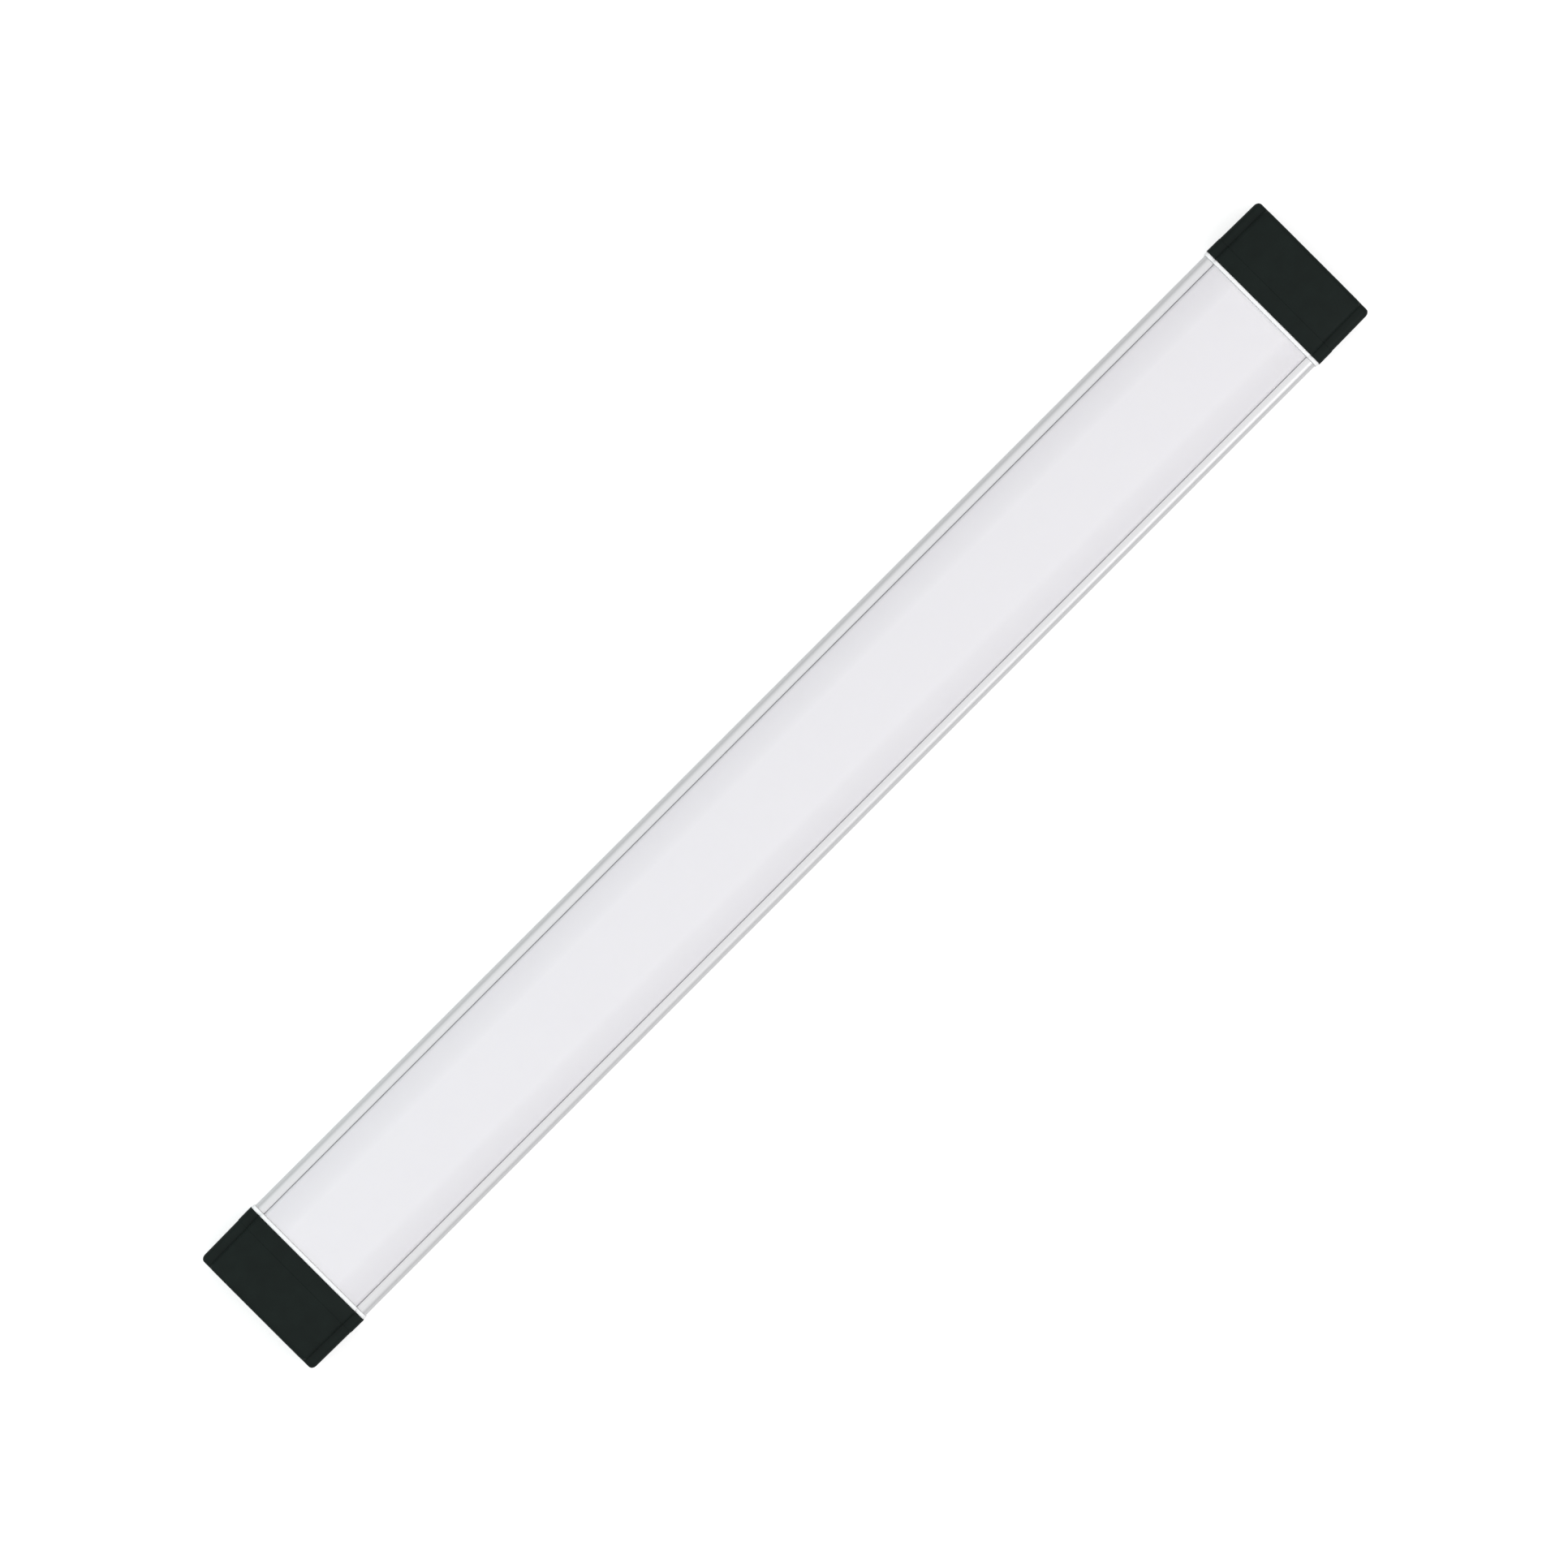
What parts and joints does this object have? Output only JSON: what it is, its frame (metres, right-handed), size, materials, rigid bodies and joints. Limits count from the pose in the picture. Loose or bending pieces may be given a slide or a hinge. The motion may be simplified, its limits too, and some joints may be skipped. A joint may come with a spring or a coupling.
{
  "type": "led light tube",
  "caption": "Slim battery-powered LED light tube with an opal front, a light metal channel, dark end caps, push buttons, a charging socket and tripod inserts.",
  "frame": {"origin": "under the middle of the tube, on the plane that the backs of the two caps rest on", "axes": "+X along the tube towards the control cap, +Y across it, +Z out of the diffuser's front"},
  "size_m": [0.6, 0.0642, 0.0327],
  "materials": {
    "anodised": "satin, light anodised extrusion",
    "opal": "opal polycarbonate, satin",
    "charcoal": "fine moulded texture",
    "silicone": "pale translucent silicone",
    "black_steel": "black oxide",
    "white_board": "white solder mask",
    "green_board": "green solder mask",
    "white_plastic": "satin",
    "black_plastic": "satin",
    "cell_sleeve": "printed-free shrink sleeve over a metal can",
    "brass": "machined",
    "smoked": "smoked clear acrylic",
    "frosted": "frosted acrylic",
    "rubber": "matt grey rubber",
    "nickel": "nickel plate",
    "red_lead": "sleeved lead",
    "ferrite": "moulded ferrite"
  },
  "bodies": {
    "tube": {"battery_board": "green_board", "battery_cell_1": "cell_sleeve", "battery_cell_2": "cell_sleeve", "battery_cell_3": "cell_sleeve", "battery_cell_4": "cell_sleeve", "battery_lead": "red_lead", "battery_tray": "black_plastic", "cap_screw_left_1": "black_steel", "cap_screw_left_2": "black_steel", "cap_screw_left_3": "black_steel", "cap_screw_left_4": "black_steel", "cap_screw_right_1": "black_steel", "cap_screw_right_2": "black_steel", "cap_screw_right_3": "black_steel", "cap_screw_right_4": "black_steel", "charge_board": "green_board", "charge_lead": "red_lead", "charge_port_shell": "nickel", "charge_port_tongue": "black_plastic", "control_board": "green_board", "control_inductor": "ferrite", "display_module": "black_plastic", "display_window": "smoked", "end_cap_left": "charcoal", "end_cap_right": "charcoal", "end_gasket_left": "silicone", "end_gasket_right": "silicone", "end_mount_insert": "brass", "front_diffuser": "opal", "led_board_jumper": "white_plastic", "led_board_left": "white_board", "led_board_right": "white_board", "led_lead": "white_plastic", "magnet_cup_left": "rubber", "magnet_cup_right": "rubber", "minus_switch_housing": "black_plastic", "mode_switch_housing": "black_plastic", "panel_board": "green_board", "panel_ribbon": "white_plastic", "plus_switch_housing": "black_plastic", "power_switch_housing": "black_plastic", "rear_housing": "anodised", "rear_magnet_left": "nickel", "rear_magnet_right": "nickel", "rear_mount_insert": "brass", "status_light_pipe": "frosted"},
    "power_button": {"power_button": "rubber", "power_switch_stem": "white_plastic"},
    "mode_button": {"mode_button": "rubber", "mode_switch_stem": "white_plastic"},
    "plus_button": {"plus_button": "rubber", "plus_switch_stem": "white_plastic"},
    "minus_button": {"minus_button": "rubber", "minus_switch_stem": "white_plastic"},
    "port_cover": {"port_cover": "rubber"}
  },
  "joints": [
    {"name": "power_press", "type": "slide", "parent": "tube", "child": "power_button", "axis": [-1, 0, 0], "range_m": [0, 0.0005], "stiffness_N_per_m": 2000, "springref_m": -0.0002},
    {"name": "mode_press", "type": "slide", "parent": "tube", "child": "mode_button", "axis": [-1, 0, 0], "range_m": [0, 0.0005], "stiffness_N_per_m": 2000, "springref_m": -0.0002},
    {"name": "plus_press", "type": "slide", "parent": "tube", "child": "plus_button", "axis": [-1, 0, 0], "range_m": [0, 0.0005], "stiffness_N_per_m": 2000, "springref_m": -0.0002},
    {"name": "minus_press", "type": "slide", "parent": "tube", "child": "minus_button", "axis": [-1, 0, 0], "range_m": [0, 0.0005], "stiffness_N_per_m": 2000, "springref_m": -0.0002},
    {"name": "port_cover_hinge", "type": "hinge", "parent": "tube", "child": "port_cover", "pos_m": [-0.29895, 0.0142, 0.019], "axis": [0, 1, 0], "range_deg": [0, 100]}
  ]
}
